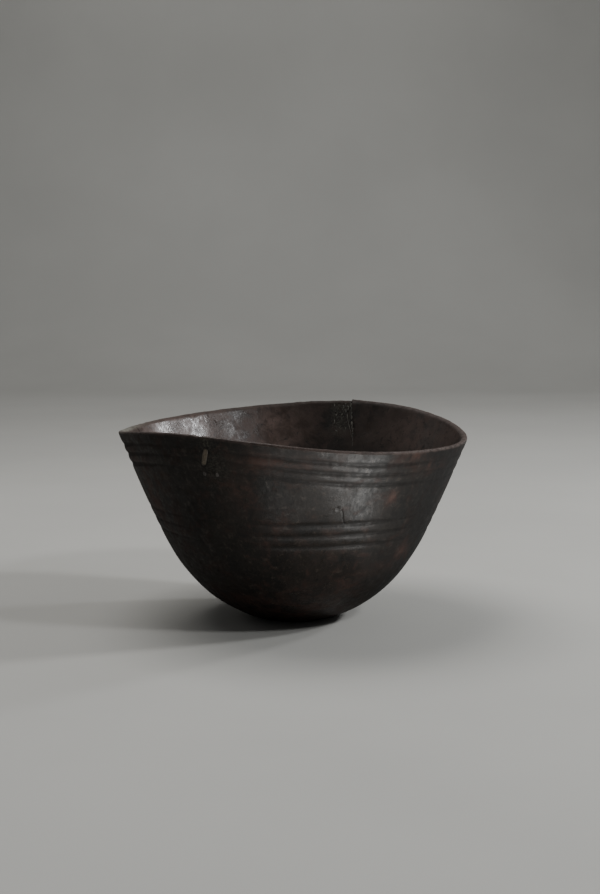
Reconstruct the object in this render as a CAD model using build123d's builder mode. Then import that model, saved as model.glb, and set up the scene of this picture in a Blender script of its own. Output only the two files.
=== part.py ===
"""A round-bottomed carved wooden bowl with a warped rim, two bands of cut grooves and its old repairs.

The bowl is carved from one block. Four small pieces belong to its repairs: a slip of brown wood
let into a split below the front of the rim, two pegs beside that split's lower end, and the filler in
a crack that runs down the inside from the back of the rim.

Millimetres, +Z up. The origin is the centre of the foot, on the surface that the bowl stands on, and
the front of the bowl faces -Y. Bearings are degrees about +Z, counted from +X.
"""

from build123d import *
from math import cos, radians, sin
import os

# The wall's two faces, as (radius, height) points from the bottom to just above the rim.
OUTER_WALL = ((36, 0), (55, 8), (84, 28), (107, 56), (129.7, 101), (164.3, 184))
INNER_WALL = ((0, 15), (42, 20), (86, 46), (116, 90), (131, 121), (158.8, 184))
FOOT_SLOPE = (3, 1)
FLOOR_SLOPE = (1, 0)
RIM_SLOPE = (0.41, 1)

# The rim is a saddle with a slight tilt, because the bowl was carved green and dried out of true.
RIM_MEAN_HEIGHT = 172.4
RIM_RADIUS = 160
SADDLE_RISE = 7.2
SADDLE_BEARING = 64
TILT_RISE = 3.7
TILT_BEARING = 138
RIM_ROUNDING = 1.8

# Three grooves follow the rim, and three more run level below them.
GROOVE_WIDTH = 3
GROOVE_DEPTH = 0.8
UPPER_GROOVES_BELOW_RIM = (11.5, 20, 29)
LOWER_GROOVE_HEIGHTS = (83.5, 93.5, 103.5)

# The repaired split at the front, and the two pegs beside its lower end.
SPLIT_BEARING = -118
SPLIT_LEAN = -22
INLAY_SIZE = (17.5, 4.6)
INLAY_DEPTH = 2.2
INLAY_HEIGHT = 162
PEG_SIZE = (1.6, 2.4)
PEG_HEIGHT = 147
LEFT_PEG_BEARING = -119.5
RIGHT_PEG_BEARING = -114.9

# The filled crack at the back: a tapered strip down the inside, from the rim.
CRACK_BEARING = 70
CRACK_HEIGHT = 158
CRACK_OUTLINE = ((-1.4, 20.5), (1.4, 20.5), (0.5, -22), (-0.5, -22))
CRACK_DEPTH = 2.4

# How far a cutter runs past the wall, and past the whole bowl.
PAST_WALL = 12
BEYOND = 200


def shifted(wall, outward):
    """The same wall points, that much further from the bowl's axis."""
    return [(radius + outward, height) for radius, height in wall]


def saddle(drop):
    """The rim's warped surface, lowered by drop: a quadratic in x and y, as one patch with 3 by 3 poles."""
    lobe = SADDLE_RISE / RIM_RADIUS**2
    turn = radians(2 * SADDLE_BEARING)
    tilt = TILT_RISE / RIM_RADIUS
    places = (-BEYOND, 0, BEYOND)
    squares = (BEYOND**2, -(BEYOND**2), BEYOND**2)
    poles = []
    for x, x_squared in zip(places, squares):
        row = []
        for y, y_squared in zip(places, squares):
            slope = tilt * (x * cos(radians(TILT_BEARING)) + y * sin(radians(TILT_BEARING)))
            warp = lobe * (cos(turn) * (x_squared - y_squared) + 2 * sin(turn) * x * y)
            row.append((x, y, RIM_MEAN_HEIGHT - drop + slope + warp))
        poles.append(row)
    return Face.make_bezier_surface(poles)


def wall_plane(wall, bearing, height, inward, lean=0):
    """A plane along the upper wall, square to the wall's face and that far inside it, with its y axis up."""
    top_radius, top_height = wall[-1]
    run, rise = RIM_SLOPE
    outward = Vector(cos(radians(bearing)), sin(radians(bearing)), 0)
    across = Vector(-outward.Y, outward.X, 0)
    on_face = outward * (top_radius - (top_height - height) * run / rise) + Vector(0, 0, height)
    square = outward * rise - Vector(0, 0, run)
    return Plane(origin=on_face, x_dir=across, z_dir=square).offset(-inward).rotated((0, 0, lean))


def export(piece, name):
    """Labels a finished piece and writes it to its own file."""
    piece.part.label = name
    export_step(piece.part, f"parts/{name}.step")


# The bowl before its grooves were cut and its repairs let in, with the rim's two edges worn round.
with BuildPart() as blank:
    with BuildSketch(Plane.XZ):
        with BuildLine():
            outer_face = Spline(*OUTER_WALL, tangents=(FOOT_SLOPE, RIM_SLOPE))
            inner_face = Spline(*INNER_WALL, tangents=(FLOOR_SLOPE, RIM_SLOPE))
            Line(outer_face @ 1, inner_face @ 1)
            Polyline(inner_face @ 0, (0, 0), outer_face @ 0)
        make_face()
    revolve(axis=Axis.Z)
    extrude(saddle(0), amount=BEYOND, dir=(0, 0, 1), mode=Mode.SUBTRACT)
    rim = blank.faces().sort_by(Axis.Z)[-1]
    fillet(rim.edges(), radius=RIM_ROUNDING)

# A layer over the outer face of the wall, as deep as the grooves.
with BuildPart() as outer_layer:
    with BuildSketch(Plane.XZ):
        with BuildLine():
            proud = Spline(*shifted(OUTER_WALL, GROOVE_DEPTH), tangents=(FOOT_SLOPE, RIM_SLOPE))
            sunk = Spline(*shifted(OUTER_WALL, -GROOVE_DEPTH), tangents=(FOOT_SLOPE, RIM_SLOPE))
            Line(proud @ 0, sunk @ 0)
            Line(proud @ 1, sunk @ 1)
        make_face()
    revolve(axis=Axis.Z)

# The grooves are slabs as thick as a groove is wide, where they pass through that layer.
with BuildPart() as grooves:
    for below_rim in UPPER_GROOVES_BELOW_RIM:
        extrude(saddle(below_rim + GROOVE_WIDTH / 2), amount=GROOVE_WIDTH, dir=(0, 0, 1))
    for height in LOWER_GROOVE_HEIGHTS:
        with BuildSketch(Plane.XY.offset(height - GROOVE_WIDTH / 2)):
            Circle(BEYOND)
        extrude(amount=GROOVE_WIDTH)
    add(outer_layer.part, mode=Mode.INTERSECT)

# The pocket that each repair fills. They run past the wall's faces, so the repairs end flush with them.
with BuildPart() as inlay_pocket:
    with BuildSketch(wall_plane(OUTER_WALL, SPLIT_BEARING, INLAY_HEIGHT, INLAY_DEPTH, SPLIT_LEAN)):
        SlotOverall(*INLAY_SIZE, rotation=90)
    extrude(amount=PAST_WALL)

with BuildPart() as left_peg_hole:
    with BuildSketch(wall_plane(OUTER_WALL, LEFT_PEG_BEARING, PEG_HEIGHT, 0)):
        Ellipse(*PEG_SIZE)
    extrude(amount=PAST_WALL, both=True)

with BuildPart() as right_peg_hole:
    with BuildSketch(wall_plane(OUTER_WALL, RIGHT_PEG_BEARING, PEG_HEIGHT, 0)):
        Ellipse(*PEG_SIZE)
    extrude(amount=PAST_WALL, both=True)

with BuildPart() as crack:
    with BuildSketch(wall_plane(INNER_WALL, CRACK_BEARING, CRACK_HEIGHT, -CRACK_DEPTH)):
        with BuildLine():
            Polyline(*CRACK_OUTLINE, close=True)
        make_face()
    extrude(amount=-PAST_WALL)

# The bowl itself, with a pocket for each repair and then the grooves cut.
with BuildPart() as bowl_body:
    add(blank.part)
    for pocket in (inlay_pocket, left_peg_hole, right_peg_hole, crack):
        add(pocket.part, mode=Mode.SUBTRACT)
    add(grooves.part, mode=Mode.SUBTRACT)

# A round-ended slip of brown wood, in a shallow mortise with a flat floor.
with BuildPart() as front_crack_inlay:
    add(inlay_pocket.part)
    add(blank.part, mode=Mode.INTERSECT)

# Two oval pegs, right through the wall.
with BuildPart() as front_peg_left:
    add(left_peg_hole.part)
    add(blank.part, mode=Mode.INTERSECT)

with BuildPart() as front_peg_right:
    add(right_peg_hole.part)
    add(blank.part, mode=Mode.INTERSECT)

# The filler narrows downwards, as the crack does, and stops short of the wall's outer face.
with BuildPart() as back_crack_fill:
    add(crack.part)
    add(blank.part, mode=Mode.INTERSECT)

os.makedirs("parts", exist_ok=True)
export(bowl_body, "bowl_body")
export(front_crack_inlay, "front_crack_inlay")
export(front_peg_left, "front_peg_left")
export(front_peg_right, "front_peg_right")
export(back_crack_fill, "back_crack_fill")
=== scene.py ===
"""The looks of a carved wooden bowl: its hand-cut wall, worn rim, old repairs, dark waxed wood and light.

Metres, in the CAD model's own frame: +Z up, the origin at the centre of the foot, the front towards -Y.
Shapes are worked out in millimetres, and turned into metres as each mesh is made.
Bearings are degrees about +Z, counted from +X. A spread is how far from its middle a smooth hump has
fallen to about a third. A fade or a start is the two places between which something goes or comes.
"""

import math
import random
from dataclasses import dataclass

import bmesh
import bpy
import numpy as np
from mathutils import Euler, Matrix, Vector, noise


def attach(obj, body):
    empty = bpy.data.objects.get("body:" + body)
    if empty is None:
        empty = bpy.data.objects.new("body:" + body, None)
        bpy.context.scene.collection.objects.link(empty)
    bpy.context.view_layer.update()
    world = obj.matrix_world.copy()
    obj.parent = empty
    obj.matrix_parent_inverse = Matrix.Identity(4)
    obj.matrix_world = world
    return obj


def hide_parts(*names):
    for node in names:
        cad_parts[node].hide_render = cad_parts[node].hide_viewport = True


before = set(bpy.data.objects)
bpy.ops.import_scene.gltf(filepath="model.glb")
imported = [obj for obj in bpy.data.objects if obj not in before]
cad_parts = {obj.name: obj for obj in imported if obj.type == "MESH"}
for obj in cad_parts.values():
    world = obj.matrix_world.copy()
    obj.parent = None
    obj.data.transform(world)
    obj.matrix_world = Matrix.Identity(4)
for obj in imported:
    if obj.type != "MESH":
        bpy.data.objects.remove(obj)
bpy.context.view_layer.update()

MM = 0.001

# The wall's two faces, as (radius, height), from the bottom to just above the rim.
OUTER_WALL = ((36, 0), (55, 8), (84, 28), (107, 56), (129.7, 101), (164.3, 184))
INNER_WALL = ((0, 15), (42, 20), (86, 46), (116, 90), (131, 121), (158.8, 184))
FOOT_SLOPE = (3, 1)
FLOOR_SLOPE = (1, 0)
RIM_SLOPE = (0.41, 1)
WALL_PER_HEIGHT = math.hypot(*RIM_SLOPE)

# The foot: rows of points from near its middle, and the hollow in it, by radius.
FOOT_ROWS = 9
FOOT_MIDDLE = 0.08
FOOT_HOLLOW = 0.5
FOOT_HOLLOW_FADE = (8, 30)

# The marks of the tools, as (depth, width, seed): a knife outside, and a curved gouge inside. They start
# above the foot, by height, and away from the middle of the floor, by radius.
KNIFE_MARKS = (0.34, 34, 1)
GOUGE_MARKS = (0.32, 26, 5)
KNIFE_START = (0, 6)
GOUGE_START = (0, 30)

# The crack at the back: its lean in degrees for each millimetre below the rim, then inside, outside and over
# the rim its depth, its half width in degrees, how it wanders, as (degrees, millimetres), and its fade. One
# of its sides stands a step behind the other on the inside.
CRACK_BEARING = 69
CRACK_LEAN = -0.085
CRACK_DEPTH_IN = 1.1
CRACK_HALF_WIDTH_IN = 0.34
CRACK_NARROWS = 0.004
CRACK_NARROWS_FOR = 60
CRACK_WANDER_IN = (0.4, 7)
CRACK_FADE_IN = (29, 47)
CRACK_DEPTH_OUT = 0.9
CRACK_HALF_WIDTH_OUT = 0.3
CRACK_WANDER_OUT = (0.25, 4)
CRACK_FADE_OUT = (16, 30)
CRACK_HALF_WIDTH_OVER = 0.4
CRACK_STEP = 0.45
CRACK_STEP_SPREAD = 5
CRACK_STEP_FADE = (20, 50)

# The small check in the front of the wall, as (bearing, height) points along it.
CHECK_LINE = ((-76.4, 117.2), (-74.8, 118.6), (-73.2, 117.4), (-72.5, 113.5), (-72.2, 109), (-71.5, 104.5))
CHECK_HALF_WIDTH = 0.55
CHECK_DEPTH = 0.6

# The repairs at the front: the slip of wood let into the split, and a peg each side of its lower end.
SPLIT_BEARING = -118
SPLIT_HEIGHT = 162
SPLIT_LEAN = -22
SLIP_HALF = (2.3, 8.75)
SLIP_SQUARENESS = 4
SLIP_DEPTH = 2.2
PEG_HEIGHT = 147
PEG_HALF = (1.6, 2.4)
PEGS = {"front_peg_left": (-119.5, 14), "front_peg_right": (-114.9, 15)}

# The bed that the slip lies in runs from 0 to 1 between two shares of the slip's size. It is sunk where that
# is highest, and the seam round it and the seam's darkening lie lower on it, as (middle, spread).
BED_EDGE = (1.35, 0.8)
BED_DEPTH = 0.5
BED_START = (0.5, 1)
SEAM_DEPTH = 0.25
SEAM_AT = (0.45, 0.25)
SEAM_DARKER_AT = (0.4, 0.25)

# How much the grooves, the check and the seam are darkened.
GROOVE_DARKER = 1.1
CHECK_DARKER = 1.5
SEAM_DARKER = 0.8

# The rim's mean height, and waves round it as (lobes, rise, bearing of a crest).
RIM_MEAN_HEIGHT = 172.4
RIM_WAVES = ((1, 3.3, 135), (2, 7.2, 64), (3, 0.7, -17), (4, 1.1, -36))

# Its fine unevenness as (seed, scale, rise), the step where the crack's two sides no longer meet, as (rise,
# degrees over which it fades), and the nick above the front split, as (bearing, spread, depth).
RIM_UNEVENNESS = ((3, 6, 0.25), (4, 24, 0.2))
RIM_BEFORE_CRACK = (1.3, 5)
RIM_AFTER_CRACK = (-0.35, 6)
RIM_NICK = (SPLIT_BEARING - 1, 1.6, 0.5)

# The rim's section: how far it rises above the two walls' last rows, how square it is, where 1 is round and
# less is squarer, how many points it has, and how its thickness swells, as (millimetres, seed, scale).
RIM_CREST = 2.6
RIM_SQUARENESS = 0.9
RIM_POINTS = 15
RIM_SWELL = (0.24, 50, 1.3)
RIM_SWELL_FADE = (0, 25)

# The grooves, from the lowest up. Each is a soft notch, cut by hand, so it wanders and its depth varies, as
# (how much, scale of the noise). The lower three rise at the left, as (bearing, spread, rise).
LOWER_GROOVE_HEIGHTS = (83.5, 93.5, 103.5)
UPPER_GROOVES_BELOW_RIM = (29, 20, 11.5)
LOWER_GROOVE_LIFT = (-150, 35, 1.6)
GROOVE_HALF_WIDTH = 2.2
GROOVE_DEPTH = 0.62
GROOVE_WANDER = (0.32, 2.5)
GROOVE_UNEVENNESS = (0.3, 5)
LOWER_GROOVE_SEED = 20
UPPER_GROOVE_SEED = 30
GROOVE_DEPTH_SEED = 40

# How clearly the grooves are cut: everywhere, then (bearing, spread, more for the lower three, more for the
# upper three), where less than nothing is fainter.
GROOVE_REST = 0.7
GROOVE_CLEAR = (
    (-70, 22, 0.3, 0.3),
    (-120, 26, -0.38, -0.34),
    (-32, 15, -0.3, -0.3),
    (-171, 15, -0.15, 0.8),
)

# The mesh: how many columns go round and where they stand closer, as (bearing, spread, times as close), the
# rows across each groove, and how many rows there are below, between and above the two bands.
COLUMNS = 512
CLOSER = ((CRACK_BEARING + 1, 3.5, 6), (-73, 2.6, 5), (SPLIT_BEARING, 3.2, 4))
GROOVE_ROWS = (-3.9, -3.0, -2.3, -1.7, -1.1, -0.55, 0, 0.55, 1.1, 1.7, 2.3, 3.0, 3.9)
ROWS_BELOW = 30
HEIGHTS_BELOW = (0.02, 76)
ROWS_BETWEEN = 18
ROWS_ABOVE = 4
INNER_ROWS = 44
INNER_CROWDING = 1.25

# A distance that is too far to matter, and the least radius of a row round the middle of the floor.
FAR = 99.0
SMALLEST_RADIUS = 0.4

# Patches worn reddish brown, as (bearing, height, spread across, spread up, strength). The low one round the
# front of the foot is painted bounce light, and the big one on the inside's left is partly wear and partly
# painted sheen where the windows' light falls.
OUTER_PATCHES = (
    (-155, 125, 36, 50, 0.85),
    (-108, 133, 11, 9, 0.7),
    (-96, 158, 34, 8, 0.8),
    (-54, 125, 5, 7, 0.8),
    (-47, 161, 15, 5, 0.7),
    (-40, 150, 22, 7, 0.5),
    (-36, 68, 15, 13, 0.6),
    (-62, 52, 26, 12, 0.35),
    # Painted bounce light: a paler pool low on the front, where light comes up from the floor.
    (-105, 18, 90, 22, 0.6),
    (-99, 100, 24, 22, 0.3),
    (25, 120, 40, 22, 0.4),
    (95, 90, 50, 30, 0.35),
    (160, 150, 30, 10, 0.5),
)
INNER_PATCHES = (
    # Partly worn brown and partly painted sheen, on the inner left wall that the windows light.
    (140, 150, 95, 60, 0.95),
    (98, 152, 22, 34, 0.6),
    (35, 150, 48, 40, 0.55),
    (8, 150, 26, 30, 0.45),
    (-60, 140, 70, 40, 0.5),
    (-140, 140, 70, 40, 0.5),
)

# Where the wall is made darker: outside, painted shade on its right and left flanks, as (bearing, spread,
# strength), and inside, near the back crack, as (bearing, spread, strength, and the two heights between which
# it fades out upwards).
OUTER_PAINTED_SHADE = ((-30, 24, 1.0), (-168, 22, 0.7))
INNER_DARKENING = ((71, 6, 0.9, 126, 152), (56, 7, 0.9, 130, 156))

# Where it is rubbed smooth: outside as the bearings between which it starts and ends, inside as (bearing,
# spread). Every mask by bearing fades out between two radii, before its sides meet in the floor's middle.
RUBBED_START = (-120, -92)
RUBBED_END = (-64, -50)
RUBBED_INSIDE = (140, 42)
OFF_FLOOR = (45, 90)

# The rim's left tip, where its crest gets a painted highlight, and the stretch at the back where its edge
# isn't worn, as (bearing, spread).
LEFT_TIP_PAINTED_HIGHLIGHT = (178, 16)
UNWORN_RIM = (98, 50)
UNWORN_SHARE = 0.88

# Dry crust beside the back crack, as (bearing, spread) and its fades by distance below the rim.
CRUST = (72.6, 3.4)
CRUST_START = (0, 3)
CRUST_END = (24, 46)

# Dust round the front repairs, as (bearing, spread, height, spread up, strength), and a trace of the split
# above the slip, as (bearing, spread) and its fade by distance below the rim.
DUST = (SPLIT_BEARING + 2, 6, PEG_HEIGHT + 8, 17, 0.6)
SPLIT_TRACE = (SPLIT_BEARING + 1.4, 1.3)
SPLIT_TRACE_FADE = (7, 14)

# The filler's lumps down the crack: how many, how far below the rim they start and how far apart they are,
# the first one's half width and how much each next one is narrower, and their half length.
LUMPS = 10
LUMPS_START = 3.6
LUMPS_APART = 4.1
LUMP_HALF_WIDTH = 1.4
LUMP_NARROWER = 0.12
LUMP_HALF_LENGTH = 2.7

# The flakes beside it lie between two bearings and two distances below the rim, and lean less than it does.
FILLER_DRAWS = 11
FLAKES = 22
FLAKE_SEED = 40
FLAKE_BEARINGS = (70.2, 75.8)
FLAKE_DEPTHS = (3, 30)
FLAKE_LEAN_SHARE = 0.6

# Threads of dried glue and fibre, as (radius, how far proud, (bearing, distance below the rim) points), the
# sides and the steps for each point that they are made with, how often they are smoothed, and how flat and
# how uneven they are.
THREAD_SIDES = 8
THREAD_STEPS = 6
THREAD_SMOOTHING = 3
THREAD_FLATNESS = 1.3
THREAD_UNEVENNESS = 0.35
THREAD_END = 0.15
THREAD_FULLNESS = 0.6
THREADS = (
    (0.55, 0.3, ((70.3, 4.2), (69.95, 5.2), (69.75, 6.6), (69.8, 8.2), (70.2, 9.8))),
    (0.26, 0.12, ((69.9, 13.5), (69.4, 18), (68.7, 23), (67.6, 29), (66.7, 36))),
    (0.32, 0.12, ((74.9, 17.5), (74.6, 20), (74.8, 23))),
)

# The share of the way to a lump's outline that each of its rings of points has, how far its edge turns down,
# and how much smaller its hidden end is.
RING_SHARES = (0.25, 0.5, 0.7, 0.85, 0.95, 1.0)
EDGE_DROP = 0.3
LUMP_TAPER = 0.96

# The dark wood's patterns, as (features to a metre, detail, roughness, distortion), and the upright scale of
# a pattern that follows the grain.
CLOUDS = (22, 4, 0.6, 0.3)
PATCHES = (75, 5, 0.62, 0.5)
BLOTS = (190, 5, 0.68, 0.4)
STREAKS = (420, 5, 0.65)
FIBRES = (1500, 3, 0.6)
SPECKS = (650, 3, 0.7)
ALONG_GRAIN = 0.12

# Colours of the dark wood.
ALMOST_BLACK = (0.0044, 0.004, 0.0035)
DARK_GREY_BROWN = (0.009, 0.0074, 0.0062)
REDDISH_BLACK = (0.02, 0.0105, 0.008)
# Worn brown outside, also laid as painted bounce light low on the front.
WORN_AND_PAINTED_BOUNCE_OUTSIDE = (0.037, 0.0185, 0.0138)
DARK_INSIDE = (0.024, 0.0165, 0.013)
# Worn brown inside, also laid as painted sheen on the inner left wall.
WORN_AND_PAINTED_SHEEN_INSIDE = (0.078, 0.052, 0.0435)
STREAK_BROWN = (0.024, 0.019, 0.0155)
PALE_BLOT = (0.034, 0.027, 0.022)
DARK_BLOT = (0.0032, 0.0029, 0.0026)
PALE_SPECK = (0.036, 0.027, 0.022)
# Painted shade on the outer flanks, and the darker wall near the back crack inside.
PAINTED_SHADE_AND_DARKENING_BLACK = (0.003, 0.0028, 0.0025)
RIM_BROWN = (0.053, 0.039, 0.034)
# A painted highlight: the pale crest of the rim's left tip, where light falls on it.
TIP_PAINTED_HIGHLIGHT = (0.13, 0.125, 0.105)
CRUST_GREY = (0.034, 0.033, 0.026)
# Darker in the grooves, the check, the crack and the seam.
CUT_DARK = (0.0035, 0.003, 0.0027)

# Colours of the repairs and of the stage.
SLIP_BROWN = (0.088, 0.071, 0.049)
PEG_BROWN = (0.055, 0.049, 0.045)
EDGE_DIRT = (0.009, 0.0075, 0.006)
FILLER_DARK = (0.022, 0.0205, 0.0165)
FILLER_LIGHT = (0.07, 0.065, 0.052)
FILLER_GRIT = (0.13, 0.123, 0.1)
FILLER_EDGE = (0.008, 0.007, 0.006)
FLOOR_GREY = (0.34, 0.335, 0.315)
FLOOR_ROUGHNESS = 0.75

# The stage, in metres: half its width, its front and back edges, its sweep's radius and its top.
STAGE_HALF_WIDTH = 5.0
STAGE_FRONT = -5.0
STAGE_BACK = 3.2
STAGE_SWEEP = 0.9
STAGE_TOP = 4.2

# The lights, in metres and watts: (name, place, target, width, height, power, colour, shape).
BOWL_MIDDLE = (0, 0, 0.1)
DAYLIGHT = (0.97, 0.985, 1.0)
SOFT_LIGHTS = (
    ("overhead", (-0.4, 0.3, 1.6), (0, 0, 0), 1.0, 1.0, 21, (1.0, 0.99, 0.975), "RECTANGLE"),
    ("window_right_wide", (2.5, 0.5, 1.0), BOWL_MIDDLE, 1.0, 1.0, 3, DAYLIGHT, "RECTANGLE"),
    ("window_back_right", (1.89, 1.02, 1.07), BOWL_MIDDLE, 0.24, 0.2, 21, DAYLIGHT, "ELLIPSE"),
    ("window_middle_right", (1.98, 0.0, 1.36), BOWL_MIDDLE, 0.24, 0.2, 31, DAYLIGHT, "ELLIPSE"),
    ("window_front_right", (1.45, -1.05, 1.59), BOWL_MIDDLE, 0.24, 0.28, 20, DAYLIGHT, "ELLIPSE"),
    ("window_left", (-2.0, 1.2, 1.05), BOWL_MIDDLE, 1.0, 1.0, 4, (1.0, 0.99, 0.97), "RECTANGLE"),
)
BACKDROP_LIGHT = (
    "backdrop_light", (-0.3, 1.9, 2.2), (-0.1, 3.2, 0.9), 1.4, 0.6, 13, (1.0, 1.0, 0.99), "RECTANGLE"
)

# Flat cards of light just above the floor, facing up, as (name, x, y, turn, width, depth, power). They stand
# for the light that a pale stand throws up at the front of the bowl.
CARD_HEIGHT = 0.004
CARD_COLOUR = (1.0, 0.99, 0.97)
CARDS = (
    ("floor_card", 0.183, -0.256, -19.6, 0.18, 0.2, 1.2),
    ("floor_card_left", 0.02, -0.275, 0, 0.2, 0.16, 0.22),
)
ROOM_COLOUR = (0.95, 0.97, 1.0, 1)
ROOM_STRENGTH = 0.1

# The camera: its place in metres, how far it looks down in degrees, and its lens and sensor in millimetres.
CAMERA_PLACE = (0.0051, -1.3928, 0.3267)
CAMERA_LOOKS_DOWN = 7.098
CAMERA_LENS = 62.42
CAMERA_SENSOR = 36


def clamped_spline(points, first, last, count=600):
    """Samples of a smooth curve through the points, with its direction given at both ends."""
    p = np.array(points, float)
    gaps = np.linalg.norm(np.diff(p, axis=0), axis=1)
    t = np.concatenate([[0], np.cumsum(gaps)])
    n = len(p)
    matrix = np.zeros((n, n))
    right = np.zeros((n, 2))
    matrix[0, 0] = 1
    matrix[-1, -1] = 1
    right[0] = np.array(first, float) / np.linalg.norm(first)
    right[-1] = np.array(last, float) / np.linalg.norm(last)
    for i in range(1, n - 1):
        before, after = gaps[i - 1], gaps[i]
        matrix[i, i - 1 : i + 2] = after, 2 * (before + after), before
        right[i] = 3 * (after * (p[i] - p[i - 1]) / before + before * (p[i + 1] - p[i]) / after)
    slopes = np.linalg.solve(matrix, right)
    at = np.linspace(0, t[-1], count)
    span = np.clip(np.searchsorted(t, at, side="right") - 1, 0, n - 2)
    h = gaps[span][:, None]
    s = ((at - t[span]) / gaps[span])[:, None]
    return (
        (2 * s**3 - 3 * s**2 + 1) * p[span]
        + (s**3 - 2 * s**2 + s) * h * slopes[span]
        + (3 * s**2 - 2 * s**3) * p[span + 1]
        + (s**3 - s**2) * h * slopes[span + 1]
    )


OUTER = clamped_spline(OUTER_WALL, FOOT_SLOPE, RIM_SLOPE)
INNER = clamped_spline(INNER_WALL, FLOOR_SLOPE, RIM_SLOPE)


def wall_radius(wall, height):
    """The radius of one face of the wall at a height."""
    return np.interp(height, wall[:, 1], wall[:, 0])


def wall_directions(wall):
    """The direction along one face of the wall at each of its samples, as unit (radius, height) parts."""
    slopes = np.gradient(wall, axis=0)
    return slopes / np.linalg.norm(slopes, axis=1)[:, None]


def wall_square(wall, height, outward):
    """The direction square to one face of the wall at a height, as (radius, height) parts."""
    directions = wall_directions(wall)
    along_r = np.interp(height, wall[:, 1], directions[:, 0])
    along_z = np.interp(height, wall[:, 1], directions[:, 1])
    sign = 1 if outward else -1
    return sign * along_z, -sign * along_r


def smooth(x, low, high):
    """0 at low and beyond it, 1 at high and beyond it, and a smooth step between."""
    t = np.clip((x - low) / (high - low), 0, 1)
    return t * t * (3 - 2 * t)


def bump_at(x, centre, spread):
    """A smooth hump of height 1."""
    return np.exp(-(((x - centre) / spread) ** 2))


def turn_from(bearings, centre):
    """How far each bearing is from a centre, in degrees, from -180 to 180."""
    return (bearings - centre + 180) % 360 - 180


def bump_round(bearings, centre, spread):
    """A smooth hump of height 1 about a bearing."""
    return bump_at(turn_from(bearings, centre), 0, spread)


def crease(bearings, centre, width):
    """A narrow V in bearing, 1 at its middle. Width is in degrees and may vary by row."""
    return np.clip(1 - np.abs(turn_from(bearings, centre)) / width, 0, 1)


def ring_noise(bearings, seed, scale):
    """Smooth noise round the bowl, from about -1 to 1. A larger scale gives more waves."""
    values = []
    for bearing in np.radians(bearings):
        place = Vector((math.cos(bearing) * scale, math.sin(bearing) * scale, seed * 7.31))
        values.append(noise.fractal(place, 1.0, 2.0, 3))
    return np.array(values)


def tool_marks(radius, bearings, height, marks):
    """How far a face stands out of true from the tool that cut it, given as (depth, width, seed)."""
    depth, width, seed = marks
    x = radius * np.cos(np.radians(bearings)) / width
    y = radius * np.sin(np.radians(bearings)) / width
    z = height / width + seed * 11.7
    points = zip(x.ravel(), y.ravel(), z.ravel())
    return depth * np.array([noise.fractal(Vector(p), 1.0, 2.0, 2) for p in points]).reshape(radius.shape)


def rim_height(bearings):
    """The height of the rim's crest: its warp, its step at the back crack, its nick and its unevenness."""
    height = np.full(len(bearings), float(RIM_MEAN_HEIGHT))
    for lobes, rise, crest in RIM_WAVES:
        height += rise * np.cos(np.radians(lobes * (bearings - crest)))
    past = turn_from(bearings, CRACK_BEARING)
    rise_before, fade_before = RIM_BEFORE_CRACK
    rise_after, fade_after = RIM_AFTER_CRACK
    before, after = rise_before * np.exp(past / fade_before), rise_after * np.exp(-past / fade_after)
    height += np.where(past < 0, before, after)
    bearing, spread, depth = RIM_NICK
    height -= depth * bump_round(bearings, bearing, spread)
    for seed, scale, rise in RIM_UNEVENNESS:
        height += rise * ring_noise(bearings, seed, scale)
    return height


def column_bearings():
    """Bearings of the mesh's columns, closer together where there is fine detail."""
    fine = np.linspace(-180, 180, 20001)
    density = np.ones(len(fine))
    for centre, spread, times in CLOSER:
        density += times * bump_round(fine, centre, spread)
    total = np.concatenate([[0], np.cumsum((density[1:] + density[:-1]) / 2)])
    share = np.arange(COLUMNS) / COLUMNS * total[-1]
    return np.interp(share, total, fine)


BEARINGS = column_bearings()
RIM = rim_height(BEARINGS)
RIM_EDGE = RIM - RIM_CREST
SWELL = RIM_SWELL[0] * ring_noise(BEARINGS, *RIM_SWELL[1:])


def groove_centres():
    """The height of each groove at every column, from the lowest up, as rows of an array."""
    bearing, spread, rise = LOWER_GROOVE_LIFT
    lift = rise * bump_round(BEARINGS, bearing, spread)
    wander, scale = GROOVE_WANDER
    centres = []
    for i, height in enumerate(LOWER_GROOVE_HEIGHTS):
        centres.append(height + lift + wander * ring_noise(BEARINGS, LOWER_GROOVE_SEED + i, scale))
    for i, below in enumerate(UPPER_GROOVES_BELOW_RIM):
        centres.append(RIM - below + wander * ring_noise(BEARINGS, UPPER_GROOVE_SEED + i, scale))
    return np.array(centres)


def groove_cuts():
    """How deep each groove is cut at every column, as a share of the full depth."""
    uneven, scale = GROOVE_UNEVENNESS
    seeds = range(GROOVE_DEPTH_SEED, GROOVE_DEPTH_SEED + len(GROOVES))
    cuts = np.array([1 + uneven * ring_noise(BEARINGS, seed, scale) for seed in seeds])
    clear = GROOVE_REST
    for bearing, spread, lower, upper in GROOVE_CLEAR:
        more = [lower] * len(LOWER_GROOVE_HEIGHTS) + [upper] * len(UPPER_GROOVES_BELOW_RIM)
        clear = clear + np.array(more)[:, None] * bump_round(BEARINGS, bearing, spread)
    return cuts * clear


GROOVES = groove_centres()
GROOVE_CUTS = groove_cuts()


def groove_share(heights):
    """How much of the full groove depth is cut away at each point of the outer wall."""
    share = np.zeros(heights.shape)
    for centre, cut in zip(GROOVES, GROOVE_CUTS):
        share = np.maximum(share, cut * np.exp(-((np.abs(heights - centre) / GROOVE_HALF_WIDTH) ** 2)))
    return share


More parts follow.
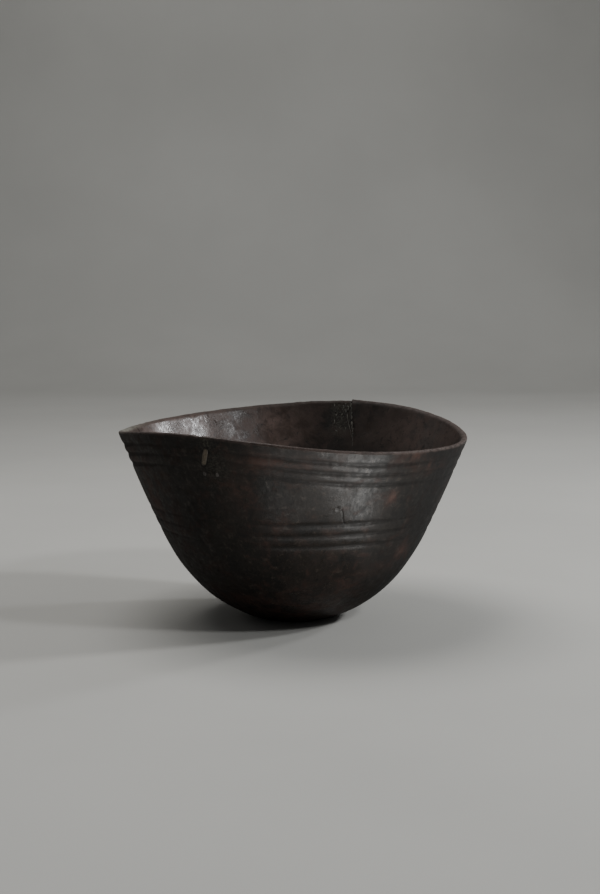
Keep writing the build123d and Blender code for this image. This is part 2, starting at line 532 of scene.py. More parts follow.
def outer_rows():
    """Heights of the outer wall's rows at every column, from just above the foot to just below the rim."""
    lowest, highest = HEIGHTS_BELOW
    start = OUTER[(OUTER[:, 1] > lowest) & (OUTER[:, 1] < highest)]
    chosen = start[np.linspace(0, len(start) - 1, ROWS_BELOW).astype(int), 1]
    rows = [np.full(COLUMNS, height) for height in chosen]
    rows.append((rows[-1] + GROOVES[0] + GROOVE_ROWS[0]) / 2)
    for i, centre in enumerate(GROOVES):
        rows.extend(centre + offset for offset in GROOVE_ROWS)
        if i == len(LOWER_GROOVE_HEIGHTS) - 1:
            floor, ceiling = rows[-1], GROOVES[i + 1] + GROOVE_ROWS[0]
            rows.extend(floor + (ceiling - floor) * k / ROWS_BETWEEN for k in range(1, ROWS_BETWEEN))
    top = rows[-1]
    rows.extend(top + (RIM_EDGE - top) * k / ROWS_ABOVE for k in range(1, ROWS_ABOVE + 1))
    return np.array(rows)


def crack_lean(below):
    """How far round the crack has turned, in degrees, that far below the rim: it follows the grain."""
    return CRACK_LEAN * below


def near_line(bearings, z, line):
    """The distance along the outer wall from each point to a line of (bearing, height) points."""
    radius = wall_radius(OUTER, z)
    best = np.full(z.shape, FAR)
    for (turn_a, height_a), (turn_b, height_b) in zip(line, line[1:]):
        ax, az = np.radians(turn_from(bearings, turn_a)) * radius, z - height_a
        bx, bz = np.radians(turn_b - turn_a) * radius, height_b - height_a
        share = np.clip((ax * bx + az * bz) / (bx * bx + bz * bz), 0, 1)
        best = np.minimum(best, np.hypot(ax - share * bx, az - share * bz))
    return best


def slip_share(bearings, z):
    """How far inside the slip's outline each point of the outer wall is: 0 well outside, 1 well inside."""
    lean = math.radians(SPLIT_LEAN)
    across = np.radians(turn_from(bearings, SPLIT_BEARING)) * wall_radius(OUTER, z)
    up = (z - SPLIT_HEIGHT) * WALL_PER_HEIGHT
    along = up * math.cos(lean) - across * math.sin(lean)
    over = up * math.sin(lean) + across * math.cos(lean)
    across_share = (np.abs(over) / SLIP_HALF[0]) ** SLIP_SQUARENESS
    along_share = (np.abs(along) / SLIP_HALF[1]) ** SLIP_SQUARENESS
    return smooth((across_share + along_share) ** (1 / SLIP_SQUARENESS), *BED_EDGE)


# Each part of the bowl's surface below is given as five (rows, columns) arrays: radius, height, darkening in
# the cuts, the distance below the rim's crest, and inside, which goes from 0 outside to 1 inside over the
# rim.


def foot_surface():
    """The foot: flat where the bowl stands, and a little hollow in the middle."""
    shares = np.linspace(FOOT_MIDDLE, 1, FOOT_ROWS)[:, None]
    radius = np.broadcast_to(OUTER_WALL[0][0] * shares, (FOOT_ROWS, COLUMNS))
    height = FOOT_HOLLOW * (1 - smooth(radius, *FOOT_HOLLOW_FADE))
    none = np.zeros(radius.shape)
    return radius, height, none, np.full(radius.shape, FAR), none


def outer_surface():
    """The outer wall, with its grooves, the small check, the crack's end and the slip's bed cut in it."""
    height = outer_rows()
    bearings = np.broadcast_to(BEARINGS, height.shape)
    radius = wall_radius(OUTER, height)
    square_r, square_z = wall_square(OUTER, height, outward=True)
    below_rim = RIM - height
    groove = groove_share(height)
    check = np.clip(1 - near_line(bearings, height, CHECK_LINE) / CHECK_HALF_WIDTH, 0, 1)
    turn, length = CRACK_WANDER_OUT
    wander = CRACK_BEARING + turn * np.sin(height / length)
    crack = crease(bearings, wander, CRACK_HALF_WIDTH_OUT) * (1 - smooth(below_rim, *CRACK_FADE_OUT))
    bed = slip_share(bearings, height)

    push = tool_marks(radius, bearings, height, KNIFE_MARKS) - GROOVE_DEPTH * groove * (1 - bed)
    push -= CHECK_DEPTH * check + CRACK_DEPTH_OUT * crack
    push -= BED_DEPTH * smooth(bed, *BED_START) + SEAM_DEPTH * bump_at(bed, *SEAM_AT)
    push *= smooth(height, *KNIFE_START)
    darker_in_cuts = GROOVE_DARKER * groove + CHECK_DARKER * check + crack + SEAM_DARKER * bump_at(bed, *SEAM_DARKER_AT)
    darker_in_cuts = np.clip(darker_in_cuts, 0, 1)
    return radius + push * square_r, height + push * square_z, darker_in_cuts, below_rim, np.zeros(height.shape)


def rim_surface(outer_radius):
    """The rim, from the outer wall's last row over a worn crest to the inner wall."""
    inner_radius = wall_radius(INNER, RIM_EDGE) - SWELL
    middle, half = (outer_radius + inner_radius) / 2, (outer_radius - inner_radius) / 2
    turns = np.linspace(0, math.pi, RIM_POINTS)[1:-1, None]
    across = np.sign(np.cos(turns)) * np.abs(np.cos(turns)) ** RIM_SQUARENESS
    rise = RIM_CREST * np.sin(turns) ** RIM_SQUARENESS
    radius = middle + half * across + rise * RIM_SLOPE[0]
    height = RIM_EDGE + rise
    darker_in_cuts = crease(np.broadcast_to(BEARINGS, radius.shape), CRACK_BEARING, CRACK_HALF_WIDTH_OVER)
    inside = np.broadcast_to(np.linspace(0, 1, len(turns))[:, None], radius.shape)
    return radius, height, darker_in_cuts, RIM - height, inside


def inner_surface():
    """The inner wall down to the middle of the floor, with rows closer near the rim, and the crack in it."""
    lengths = np.concatenate([[0], np.cumsum(np.linalg.norm(np.diff(INNER, axis=0), axis=1))])
    directions = wall_directions(INNER)
    shares = np.linspace(0, 1, INNER_ROWS)[:-1, None] ** INNER_CROWDING
    top = np.interp(RIM_EDGE, INNER[:, 1], lengths)
    along = top * (1 - shares)
    below = top - along
    bearings = np.broadcast_to(BEARINGS, along.shape)
    radius = np.interp(along, lengths, INNER[:, 0])
    height = np.interp(along, lengths, INNER[:, 1])
    square_r = -np.interp(along, lengths, directions[:, 1])
    square_z = np.interp(along, lengths, directions[:, 0])

    turn, length = CRACK_WANDER_IN
    wander = CRACK_BEARING + crack_lean(below) + turn * np.sin(below / length)
    width = CRACK_HALF_WIDTH_IN - CRACK_NARROWS * np.clip(below, 0, CRACK_NARROWS_FOR)
    crack = crease(bearings, wander, width) * (1 - smooth(below, *CRACK_FADE_IN))
    step = CRACK_STEP * (turn_from(bearings, wander) < 0) * bump_round(bearings, wander, CRACK_STEP_SPREAD)
    step = step * (1 - smooth(below, *CRACK_STEP_FADE))
    push = tool_marks(radius, bearings, height, GOUGE_MARKS) + step - CRACK_DEPTH_IN * crack
    push = push * smooth(radius, *GOUGE_START)
    push = push + SWELL * (1 - smooth(below, *RIM_SWELL_FADE))
    radius = np.maximum(radius + push * square_r, SMALLEST_RADIUS)
    return radius, height + push * square_z, crack, below + RIM_CREST, np.ones(radius.shape)


def worn_brown_and_painted_light(radius, bearings, height, inside):
    """Where the dark finish has worn to brown, with painted bounce light low on the front and painted sheen
    on the inner left wall: a share at each point, from a few patches on each face.
    """
    share = np.zeros(height.shape)
    for patches, face in ((OUTER_PATCHES, 1 - inside), (INNER_PATCHES, inside)):
        for bearing, level, across, up, strength in patches:
            over = np.radians(turn_from(bearings, bearing)) * radius
            share += strength * bump_at(over, 0, across) * bump_at(height, level, up) * face
    return np.clip(share, 0, 1)


def painted_shade_and_darkening_share(bearings, height, inside):
    """Painted shade on the outer flanks, and darker wall near the back crack inside; both are also dull."""
    share = np.zeros(height.shape)
    for bearing, spread, strength in OUTER_PAINTED_SHADE:
        share += strength * bump_round(bearings, bearing, spread) * (1 - inside)
    for bearing, spread, strength, low, high in INNER_DARKENING:
        share += strength * bump_round(bearings, bearing, spread) * (1 - smooth(height, low, high)) * inside
    return share


def rubbed_share(bearings, inside):
    """Where hands have rubbed the wall smooth: the middle of the front, and the inside at the left."""
    (start, full), (fade, end) = RUBBED_START, RUBBED_END
    started = smooth(turn_from(bearings, full), start - full, 0)
    ended = smooth(turn_from(bearings, fade), 0, end - fade)
    return started * (1 - ended) * (1 - inside) + inside * bump_round(bearings, *RUBBED_INSIDE)


def crust_share(bearings, height, near_rim, inside):
    """Dry crust: beside the back crack, round the front repairs, and along the split above them."""
    beside_crack = bump_round(bearings, *CRUST) * inside
    beside_crack = beside_crack * smooth(near_rim, *CRUST_START) * (1 - smooth(near_rim, *CRUST_END))
    bearing, spread, level, spread_up, strength = DUST
    dust = strength * bump_round(bearings, bearing, spread) * bump_at(height, level, spread_up)
    trace = bump_round(bearings, *SPLIT_TRACE) * (1 - smooth(near_rim, *SPLIT_TRACE_FADE))
    return beside_crack + (dust + trace) * (1 - inside)


def bowl_surface():
    """The bowl as (rows, columns) arrays of radius and height, and the masks that its material reads."""
    outer = outer_surface()
    parts = (foot_surface(), outer, rim_surface(outer[0][-1]), inner_surface())
    radius, height, darker_in_cuts, near_rim, inside = (np.concatenate(arrays) for arrays in zip(*parts))
    bearings = np.broadcast_to(BEARINGS, height.shape)
    off_floor = smooth(radius, *OFF_FLOOR)
    return radius, height, {
        "darker_in_cuts": darker_in_cuts,
        "near_rim": near_rim,
        "inside": inside,
        "rubbed": rubbed_share(bearings, inside) * off_floor,
        "worn_brown_and_painted_light": worn_brown_and_painted_light(radius, bearings, height, inside),
        "crusted": crust_share(bearings, height, near_rim, inside),
        "left_tip_painted_highlight": bump_round(bearings, *LEFT_TIP_PAINTED_HIGHLIGHT),
        "rim_wear": 1 - UNWORN_SHARE * bump_round(bearings, *UNWORN_RIM),
        "painted_shade_and_darkening": painted_shade_and_darkening_share(bearings, height, inside) * off_floor,
    }


def add_object(name, mesh):
    """An object for a finished mesh, in the scene."""
    made = bpy.data.objects.new(name, mesh)
    bpy.context.scene.collection.objects.link(made)
    return made


def add_mask(mesh, name, values):
    """A number at every point of a mesh, for its material to read."""
    mesh.attributes.new(name, "FLOAT", "POINT").data.foreach_set("value", np.array(values, np.float32))


def grid_mesh(name, radius, height, masks):
    """A closed mesh over a grid of rows and columns, with a point at each end, and its masks."""
    rows, columns = radius.shape
    bearing = np.radians(BEARINGS)[None, :]
    grid = np.stack([radius * np.cos(bearing), radius * np.sin(bearing), height], axis=-1).reshape(-1, 3)
    ends = [(0, 0, height[0].mean()), (0, 0, height[-1].mean())]
    points = np.concatenate([grid, ends]) * MM
    bottom, top, last = rows * columns, rows * columns + 1, (rows - 1) * columns
    faces = []
    for start in range(0, last, columns):
        for j in range(columns):
            k = (j + 1) % columns
            faces.append((start + j, start + k, start + columns + k, start + columns + j))
    for j in range(columns):
        k = (j + 1) % columns
        faces.append((bottom, k, j))
        faces.append((last + j, last + k, top))
    mesh = bpy.data.meshes.new(name)
    mesh.from_pydata(points.tolist(), [], faces)
    for mask, values in masks.items():
        add_mask(mesh, mask, np.concatenate([values.ravel(), [values[0].mean(), values[-1].mean()]]))
    mesh.shade_smooth()
    mesh.validate()
    return add_object(name, mesh)


class Shell:
    """Collects the points and faces of closed lumps that sit on one of the wall's faces."""

    def __init__(self):
        self.points, self.faces, self.edge = [], [], []

    def ring(self, points, edge):
        """Adds points and the share of an edge that each has, and gives the number of the first."""
        first = len(self.points)
        self.points.extend(points)
        self.edge.extend([edge] * len(points))
        return first

    def join(self, a, b, count):
        """Faces between two closed rings of points that start at numbers a and b."""
        for i in range(count):
            k = (i + 1) % count
            self.faces.append((a + i, a + k, b + k, b + i))

    def cap(self, ring, count, point):
        """A fan of faces from a ring to one point."""
        for i in range(count):
            self.faces.append((ring + i, ring + (i + 1) % count, point))

    def piece(self, name):
        """The finished object, with every face turned outwards."""
        mesh = bpy.data.meshes.new(name)
        mesh.from_pydata([tuple(c * MM for c in p) for p in self.points], [], self.faces)
        add_mask(mesh, "edge", self.edge)
        bm = bmesh.new()
        bm.from_mesh(mesh)
        bmesh.ops.recalc_face_normals(bm, faces=bm.faces)
        bm.to_mesh(mesh)
        bm.free()
        mesh.shade_smooth()
        return add_object(name, mesh)


def on_wall(outside, bearing, height, across, along, lean, proud):
    """Points beside a place on the wall: offsets along the wall, leaned, and how far they stand proud."""
    lean = math.radians(lean)
    across, along, proud = np.broadcast_arrays(*(np.array(v, float) for v in (across, along, proud)))
    right = across * math.cos(lean) - along * math.sin(lean)
    up = across * math.sin(lean) + along * math.cos(lean)
    wall, marks = (OUTER, KNIFE_MARKS) if outside else (INNER, GOUGE_MARKS)
    z = height + up / WALL_PER_HEIGHT
    r = wall_radius(wall, z)
    turn = bearing + np.degrees(right / r)
    square_r, square_z = wall_square(wall, z, outside)
    proud = proud + tool_marks(r, turn, z, marks)
    r, z = r + proud * square_r, z + proud * square_z
    return list(zip(r * np.cos(np.radians(turn)), r * np.sin(np.radians(turn)), z))


@dataclass
class Lump:
    """The shape of a repair where it shows: half its size, how square its outline is, how uneven it is."""

    half: tuple
    lean: float = 0
    squareness: float = 2.0
    dome: float = 0.12
    depth: float = 2.0
    wobble: float = 0.1
    rough: float = 0.06
    seed: int = 1
    spokes: int = 32


def lump_face(shell, outside, place, lump):
    """One face of a lump: rings from its middle out to its wavy outline. Gives its last ring and outline."""
    turns = np.linspace(0, 2 * math.pi, lump.spokes, endpoint=False)
    power = lump.squareness
    reach = (np.abs(np.cos(turns)) ** power + np.abs(np.sin(turns)) ** power) ** (-1 / power)
    waves = [noise.noise(Vector((math.cos(t) * 1.7, math.sin(t) * 1.7, lump.seed * 3.1))) for t in turns]
    reach = reach * (1 + lump.wobble * np.array(waves))
    outline = (lump.half[0] * reach * np.cos(turns), lump.half[1] * reach * np.sin(turns))
    middle = shell.ring(on_wall(outside, *place, [0], [0], lump.lean, [lump.dome]), 0.0)
    before = None
    for share in RING_SHARES:
        across, along = share * outline[0], share * outline[1]
        grit = [noise.noise(Vector((x * 0.9, y * 0.5, lump.seed * 5.3))) for x, y in zip(across, along)]
        proud = (lump.dome + lump.rough * np.array(grit)) * (1 - share**4) - EDGE_DROP * share**8
        ring = shell.ring(on_wall(outside, *place, across, along, lump.lean, proud), share**3)
        if before is None:
            shell.cap(ring, lump.spokes, middle)
        else:
            shell.join(before, ring, lump.spokes)
        before = ring
    return before, outline


def add_lump(shell, outside, place, lump):
    """A closed lump let into one face of the wall at a (bearing, height) place."""
    last, (across, along) = lump_face(shell, outside, place, lump)
    across, along = LUMP_TAPER * across, LUMP_TAPER * along
    floor = shell.ring(on_wall(outside, *place, across, along, lump.lean, -lump.depth), 1.0)
    shell.join(last, floor, lump.spokes)
    under = shell.ring(on_wall(outside, *place, [0], [0], lump.lean, [-lump.depth]), 1.0)
    shell.cap(floor, lump.spokes, under)


def add_thread(shell, points, radius):
    """A thin ridge along (bearing, height, proud) points on the inner face, tapered at both ends."""
    line = []
    for bearing, height, proud in points:
        line.extend(on_wall(False, bearing, height, [0], [0], 0, [proud]))
    line = np.array(line)
    steps = np.linspace(0, len(line) - 1, THREAD_STEPS * len(line))
    path = np.stack([np.interp(steps, np.arange(len(line)), line[:, i]) for i in range(3)], axis=1)
    for _ in range(THREAD_SMOOTHING):
        path[1:-1] = (path[:-2] + 2 * path[1:-1] + path[2:]) / 4
    turns = np.linspace(0, 2 * math.pi, THREAD_SIDES, endpoint=False)
    before = None
    for i, middle in enumerate(path):
        ahead = Vector(path[min(i + 1, len(path) - 1)] - path[max(i - 1, 0)]).normalized()
        inward = Vector((-middle[0], -middle[1], 0)).normalized()
        beside = ahead.cross(inward).normalized()
        inward = beside.cross(ahead)
        fullness = math.sin(math.pi * (i + 0.5) / len(path)) ** THREAD_FULLNESS
        reach = radius * (THREAD_END + (1 - THREAD_END) * fullness)
        reach *= 1 + THREAD_UNEVENNESS * noise.noise(Vector((i * 0.37, radius * 9, 2.2)))
        wide = THREAD_FLATNESS * reach
        offsets = [beside * (wide * math.cos(t)) + inward * (reach * math.sin(t)) for t in turns]
        ring = shell.ring([tuple(Vector(middle) + offset) for offset in offsets], 0.0)
        if before is None:
            shell.cap(ring, THREAD_SIDES, shell.ring([tuple(middle)], 0.0))
        else:
            shell.join(before, ring, THREAD_SIDES)
        before = ring
    shell.cap(before, THREAD_SIDES, shell.ring([tuple(path[-1])], 0.0))


def make_slip():
    """The slip of brown wood let into the split at the front."""
    shell = Shell()
    shape = Lump(SLIP_HALF, SPLIT_LEAN, SLIP_SQUARENESS, 0.1, SLIP_DEPTH, 0.12, rough=0.14, seed=3, spokes=56)
    add_lump(shell, True, (SPLIT_BEARING, SPLIT_HEIGHT), shape)
    return shell.piece("front_slip")


def make_peg(name):
    """A peg right through the wall, domed at both ends."""
    bearing, seed = PEGS[name]
    shell = Shell()
    shape = Lump(PEG_HALF, dome=0.14, wobble=0.16, rough=0.1, seed=seed, spokes=28)
    ends = [lump_face(shell, outside, (bearing, PEG_HEIGHT), shape)[0] for outside in (True, False)]
    shell.join(*ends, shape.spokes)
    return shell.piece(name + "_end")


def make_filler():
    """The filler in the back crack: a lumpy strip, flakes beside it, and threads of dried glue and fibre."""
    shell = Shell()
    draw = random.Random(FILLER_DRAWS)
    top = rim_height(np.array([CRACK_BEARING + 0.4]))[0]
    for i in range(LUMPS):
        down = LUMPS_START + i * LUMPS_APART + draw.uniform(-0.4, 0.4)
        width = LUMP_HALF_WIDTH - LUMP_NARROWER * i + draw.uniform(-0.2, 0.2)
        place = (CRACK_BEARING + 0.35 + crack_lean(down) + draw.uniform(-0.12, 0.12), top - down)
        half, lean = (width, LUMP_HALF_LENGTH), draw.uniform(-6, 6)
        shape = Lump(half, lean, dome=0.22, depth=1.9, wobble=0.5, rough=0.35, seed=i + 1, spokes=20)
        add_lump(shell, False, place, shape)
    for i in range(FLAKES):
        down = draw.uniform(*FLAKE_DEPTHS)
        place = (draw.uniform(*FLAKE_BEARINGS) + FLAKE_LEAN_SHARE * crack_lean(down), top - down)
        half = (draw.uniform(0.35, 0.8), draw.uniform(0.8, 2.2))
        lean = draw.uniform(-25, 25)
        shape = Lump(half, lean, dome=0.16, depth=0.5, wobble=0.8, rough=0.3, seed=FLAKE_SEED + i, spokes=14)
        add_lump(shell, False, place, shape)
    for radius, proud, line in THREADS:
        add_thread(shell, [(bearing, top - below, proud) for bearing, below in line], radius)
    return shell.piece("back_filler")


class Nodes:
    """A short way to write a material's nodes."""

    def __init__(self, name):
        self.material = bpy.data.materials.new(name)
        self.material.use_nodes = True
        self.tree = self.material.node_tree
        self.shader = self.tree.nodes["Principled BSDF"]

    def add(self, kind, **settings):
        """A new node with its settings."""
        node = self.tree.nodes.new(kind)
        for key, value in settings.items():
            setattr(node, key, value)
        return node

    def put(self, value, socket):
        """Gives a socket its value: a number, a colour, or another node's output."""
        if isinstance(value, tuple):
            socket.default_value = (*value, 1)
        elif isinstance(value, (int, float)):
            socket.default_value = value
        else:
            self.tree.links.new(value, socket)

    def shade(self, name, value):
        """Gives one of the shader's own sockets its value."""
        self.put(value, self.shader.inputs[name])

    def attribute(self, name):
        """One of the mesh's masks."""
        return self.add("ShaderNodeAttribute", attribute_name=name).outputs["Fac"]

    def place(self, upright=1):
        """The point on the object, in its own frame. Below 1, upright stretches a pattern along the grain."""
        coordinates = self.add("ShaderNodeTexCoord")
        mapping = self.add("ShaderNodeMapping")
        mapping.inputs["Scale"].default_value = (1, 1, upright)
        self.put(coordinates.outputs["Object"], mapping.inputs["Vector"])
        return mapping.outputs["Vector"]

    def noise(self, place, scale, detail, roughness, distortion=0):
        """Cloudy noise, from about 0.2 to 0.8, with scale features to a metre."""
        node = self.add("ShaderNodeTexNoise")
        self.put(place, node.inputs["Vector"])
        node.inputs["Scale"].default_value = scale
        node.inputs["Detail"].default_value = detail
        node.inputs["Roughness"].default_value = roughness
        node.inputs["Distortion"].default_value = distortion
        return node.outputs["Fac"]

    def remap(self, value, low, high, to_low=0.0, to_high=1.0):
        """A smooth step: to_low where the value is low, to_high where it is high."""
        node = self.add("ShaderNodeMapRange", interpolation_type="SMOOTHSTEP")
        self.put(value, node.inputs["Value"])
        node.inputs["From Min"].default_value = low
        node.inputs["From Max"].default_value = high
        node.inputs["To Min"].default_value = to_low
        node.inputs["To Max"].default_value = to_high
        return node.outputs["Result"]

    def math(self, operation, a, b):
        """The result of an operation on two values."""
        node = self.add("ShaderNodeMath", operation=operation)
        self.put(a, node.inputs[0])
        self.put(b, node.inputs[1])
        return node.outputs["Value"]

    def times(self, first, *others):
        """The product of all the values."""
        for other in others:
            first = self.math("MULTIPLY", first, other)
        return first

    def total(self, first, *others):
        """The sum of all the values."""
        for other in others:
            first = self.math("ADD", first, other)
        return first

    def mix(self, share, a, b):
        """Colour a where share is 0 and colour b where it is 1."""
        node = self.add("ShaderNodeMix", data_type="RGBA")
        self.put(share, node.inputs[0])
        self.put(a, node.inputs[6])
        self.put(b, node.inputs[7])
        return node.outputs[2]

    def layers(self, colour, *layers):
        """A colour with (share, colour) layers laid over it in turn."""
        for share, over in layers:
            colour = self.mix(share, colour, over)
        return colour

    def bumps(self, *bumps):
        """A normal that is tilted by each (height, distance in metres, strength) in turn."""
        normal = None
        for height, distance, strength in bumps:
            node = self.add("ShaderNodeBump")
            self.put(height, node.inputs["Height"])
            node.inputs["Distance"].default_value = distance
            node.inputs["Strength"].default_value = strength
            if normal is not None:
                self.put(normal, node.inputs["Normal"])
            normal = node.outputs["Normal"]
        return normal


def dark_wood():
    """Dense wood stained almost black, rubbed and waxed by long use, browner where hands have worn it.
    Painted light and shade lie in its colour in places: a highlight on the rim's left tip, sheen on the inner
    left wall, bounce light low on the front, and shade on the outer flanks.
    """
    m = Nodes("dark_wood")
    even = m.place()
    upright = m.place(ALONG_GRAIN)
    darker_in_cuts = m.attribute("darker_in_cuts")
    near_rim = m.attribute("near_rim")
    inside = m.attribute("inside")
    rubbed = m.attribute("rubbed")
    worn_and_painted_light = m.attribute("worn_brown_and_painted_light")
    crusted = m.attribute("crusted")
    painted_shade_and_darkening = m.attribute("painted_shade_and_darkening")
    rim_wear = m.attribute("rim_wear")

    clouds = m.noise(even, *CLOUDS)
    patches = m.noise(even, *PATCHES)
    blots = m.noise(even, *BLOTS)
    streaks = m.noise(upright, *STREAKS)
    fibres = m.noise(upright, *FIBRES)
    specks = m.noise(even, *SPECKS)

    outside = m.math("SUBTRACT", 1, inside)
    worn_and_painted_light_patchy = m.times(worn_and_painted_light, m.remap(patches, 0.36, 0.6, 0.15, 1))
    worn_and_painted_sheen_inside = m.times(worn_and_painted_light, m.remap(patches, 0.36, 0.6, 0.4, 1), inside)
    rim_edge = m.times(m.remap(near_rim, 0.4, 3.4, 1, 0), m.remap(blots, 0.3, 0.6, 0.4, 1), rim_wear)
    # The rim's worn brown edge, with a painted highlight on the crest of its left tip.
    rim_wear_and_highlight_colour = m.mix(m.attribute("left_tip_painted_highlight"), RIM_BROWN, TIP_PAINTED_HIGHLIGHT)
    ground = m.mix(m.remap(clouds, 0.38, 0.62), ALMOST_BLACK, DARK_GREY_BROWN)
    colour = m.layers(
        ground,
        (m.remap(patches, 0.5, 0.7, 0, 0.75), REDDISH_BLACK),
        # Worn brown outside, and painted bounce light low on the front.
        (m.times(worn_and_painted_light_patchy, outside), WORN_AND_PAINTED_BOUNCE_OUTSIDE),
        (m.times(inside, m.remap(clouds, 0.38, 0.62, 0.1, 0.75)), DARK_INSIDE),
        # Worn brown inside, partly painted sheen on the inner left wall.
        (worn_and_painted_sheen_inside, WORN_AND_PAINTED_SHEEN_INSIDE),
        (m.remap(streaks, 0.5, 0.75, 0, 0.4), STREAK_BROWN),
        (m.remap(blots, 0.54, 0.7, 0, 0.6), PALE_BLOT),
        (m.remap(blots, 0.44, 0.3, 0, 0.7), DARK_BLOT),
        (m.remap(specks, 0.6, 0.78, 0, 0.45), PALE_SPECK),
        # Painted shade darkens the outer flanks, and the inside is darker near the back crack.
        (m.times(painted_shade_and_darkening, m.math("SUBTRACT", 0.75, worn_and_painted_light_patchy)), PAINTED_SHADE_AND_DARKENING_BLACK),
        (rim_edge, rim_wear_and_highlight_colour),
        (m.times(crusted, m.remap(specks, 0.45, 0.62)), CRUST_GREY),
        # Darker in the grooves, the check, the crack and the seam.
        (m.remap(darker_in_cuts, 0.25, 0.9, 0, 0.55), CUT_DARK),
    )
    m.shade("Base Color", colour)

    dull = m.remap(patches, 0.3, 0.7, 0.5, 0.66)
    polish = m.total(m.times(inside, 0.09), m.times(rubbed, m.remap(streaks, 0.35, 0.65, 0.17, 0.29)))
    dry_rim = m.times(m.math("SUBTRACT", 1, rim_wear), m.remap(near_rim, 1, 4, 0.35, 0))
    roughness = m.total(
        m.math("SUBTRACT", dull, polish),
        m.remap(blots, 0.35, 0.65, 0.07, -0.05),
        m.remap(darker_in_cuts, 0.3, 0.9, 0, 0.15),
        m.times(painted_shade_and_darkening, 0.25),
        m.times(crusted, 0.25),
        dry_rim,
    )
    m.shade("Roughness", roughness)
    m.shade("Specular IOR Level", 0.15)
    normal = m.bumps(
        (clouds, 0.0014, 0.25),
        (patches, 0.0006, 0.3),
        (blots, 0.0002, 0.3),
        (streaks, 0.0003, 0.35),
        (fibres, 0.0001, 0.3),
        (specks, 0.00012, 0.3),
    )
    m.shade("Normal", normal)
    return m.material


def repair_wood(name, brown):
    """Brown wood rubbed dull, streaked along its grain and darkened by dirt at its edges."""
    m = Nodes(name)
    streaks = m.noise(m.place(0.2), 1400, 4, 0.6)
    blotches = m.noise(m.place(), 420, 3, 0.6)
    darker = tuple(0.45 * c for c in brown)
    darkest = tuple(0.3 * c for c in brown)
    colour = m.layers(
        m.mix(m.remap(streaks, 0.35, 0.65), darker, brown),
        (m.remap(blotches, 0.45, 0.75, 0, 0.7), darkest),
        (m.remap(m.attribute("edge"), 0.45, 1.0, 0, 0.85), EDGE_DIRT),
    )
    m.shade("Base Color", colour)
    m.shade("Roughness", m.remap(blotches, 0.3, 0.7, 0.42, 0.6))
    m.shade("Specular IOR Level", 0.25)
    m.shade("Normal", m.bumps((streaks, 0.0002, 0.5)))
    return m.material


def filler():
    """Dry grey-brown filler with paler grit and fibres in it."""
    m = Nodes("filler")
    grit = m.noise(m.place(), 900, 4, 0.7)
    lumps = m.noise(m.place(0.6), 260, 3, 0.6)
    colour = m.layers(
        m.mix(m.remap(lumps, 0.4, 0.65), FILLER_DARK, FILLER_LIGHT),
        (m.remap(grit, 0.52, 0.7, 0, 0.6), FILLER_GRIT),
        (m.remap(m.attribute("edge"), 0.3, 0.95, 0, 0.9), FILLER_EDGE),
    )
    m.shade("Base Color", colour)
    m.shade("Roughness", m.remap(grit, 0.3, 0.7, 0.6, 0.85))
    m.shade("Specular IOR Level", 0.3)
    m.shade("Normal", m.bumps((grit, 0.0003, 0.6)))
    return m.material


def pale_floor():
    """The pale floor and backdrop: a faintly uneven matt surface."""
    m = Nodes("pale_floor")
    mottle = m.noise(m.place(), 2.2, 5, 0.55)
    darker = tuple(0.93 * c for c in FLOOR_GREY)
    m.shade("Base Color", m.mix(m.remap(mottle, 0.3, 0.7), FLOOR_GREY, darker))
    m.shade("Roughness", FLOOR_ROUGHNESS)
    return m.material


def make_stage():
    """A floor that sweeps up into a backdrop behind the bowl."""
    profile = [(STAGE_FRONT, 0.0)]
    for turn in np.linspace(0, math.pi / 2, 17):
        y = STAGE_BACK - STAGE_SWEEP + STAGE_SWEEP * math.sin(turn)
        profile.append((y, STAGE_SWEEP - STAGE_SWEEP * math.cos(turn)))
    profile.append((STAGE_BACK, STAGE_TOP))
    points = [(x, y, z) for y, z in profile for x in (-STAGE_HALF_WIDTH, STAGE_HALF_WIDTH)]
    faces = [(2 * i, 2 * i + 1, 2 * i + 3, 2 * i + 2) for i in range(len(profile) - 1)]
    mesh = bpy.data.meshes.new("floor")
    mesh.from_pydata(points, [], faces)
    mesh.shade_smooth()
    mesh.materials.append(pale_floor())
    add_object("floor", mesh)


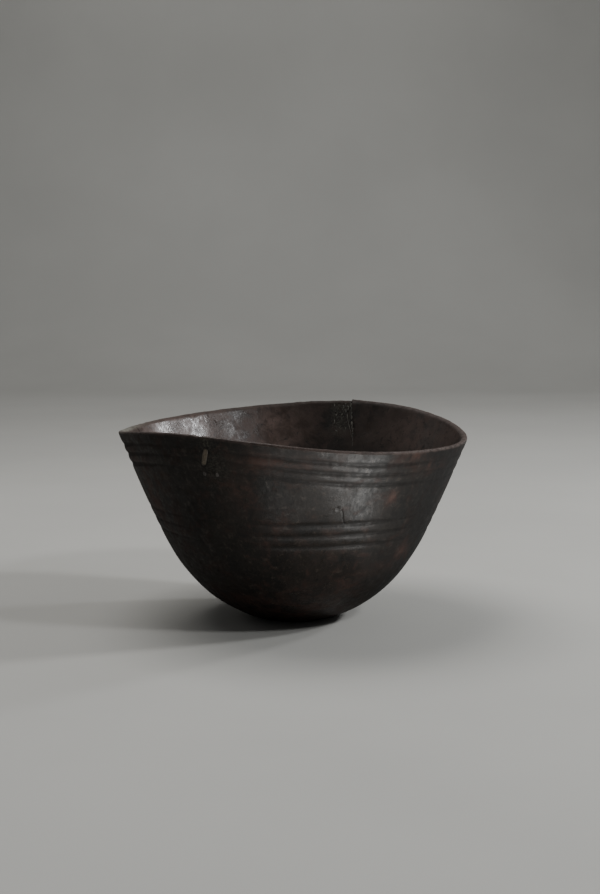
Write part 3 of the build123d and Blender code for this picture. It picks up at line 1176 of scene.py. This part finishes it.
def softbox(name, place, target, width, height, power, colour, shape):
    """A soft light at a place, turned to a target."""
    data = bpy.data.lights.new(name, "AREA")
    data.shape = shape
    data.size, data.size_y = width, height
    data.energy = power
    data.color = colour
    lamp = bpy.data.objects.new(name, data)
    lamp.location = place
    lamp.rotation_euler = (Vector(target) - Vector(place)).to_track_quat("-Z", "Y").to_euler()
    bpy.context.scene.collection.objects.link(lamp)
    return lamp


def make_lights():
    """One light overhead, four on the right, one on the left, cards on the floor, and a dim room."""
    for light in SOFT_LIGHTS:
        softbox(*light)
    for name, x, y, turn, width, depth, power in CARDS:
        place, above = (x, y, CARD_HEIGHT), (x, y, 1)
        card = softbox(name, place, above, width, depth, power, CARD_COLOUR, "RECTANGLE")
        card.rotation_euler = (math.pi, 0, math.radians(turn))
        card.visible_camera = False
    softbox(*BACKDROP_LIGHT)
    world = bpy.data.worlds.new("room")
    world.use_nodes = True
    background = world.node_tree.nodes["Background"]
    background.inputs["Color"].default_value = ROOM_COLOUR
    background.inputs["Strength"].default_value = ROOM_STRENGTH
    bpy.context.scene.world = world


def make_camera():
    """The camera stands in front, a little above the rim, and looks slightly down."""
    data = bpy.data.cameras.new("camera")
    data.sensor_fit = "AUTO"
    data.sensor_width = CAMERA_SENSOR
    data.lens = CAMERA_LENS
    camera = bpy.data.objects.new("camera", data)
    camera.location = CAMERA_PLACE
    camera.rotation_euler = Euler((math.radians(90 - CAMERA_LOOKS_DOWN), 0, 0))
    bpy.context.scene.collection.objects.link(camera)
    bpy.context.scene.camera = camera


def hand_over(piece, node, material):
    """Gives a piece its material, puts it under the root body, and hides the CAD node that it stands for."""
    piece.data.materials.append(material)
    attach(piece, "root")
    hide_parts(node)


hand_over(grid_mesh("carved_bowl", *bowl_surface()), "bowl_body", dark_wood())
hand_over(make_slip(), "front_crack_inlay", repair_wood("repair_wood", SLIP_BROWN))
hand_over(make_filler(), "back_crack_fill", filler())
peg_wood = repair_wood("peg_wood", PEG_BROWN)
for peg in PEGS:
    hand_over(make_peg(peg), peg, peg_wood)

make_stage()
make_lights()
make_camera()
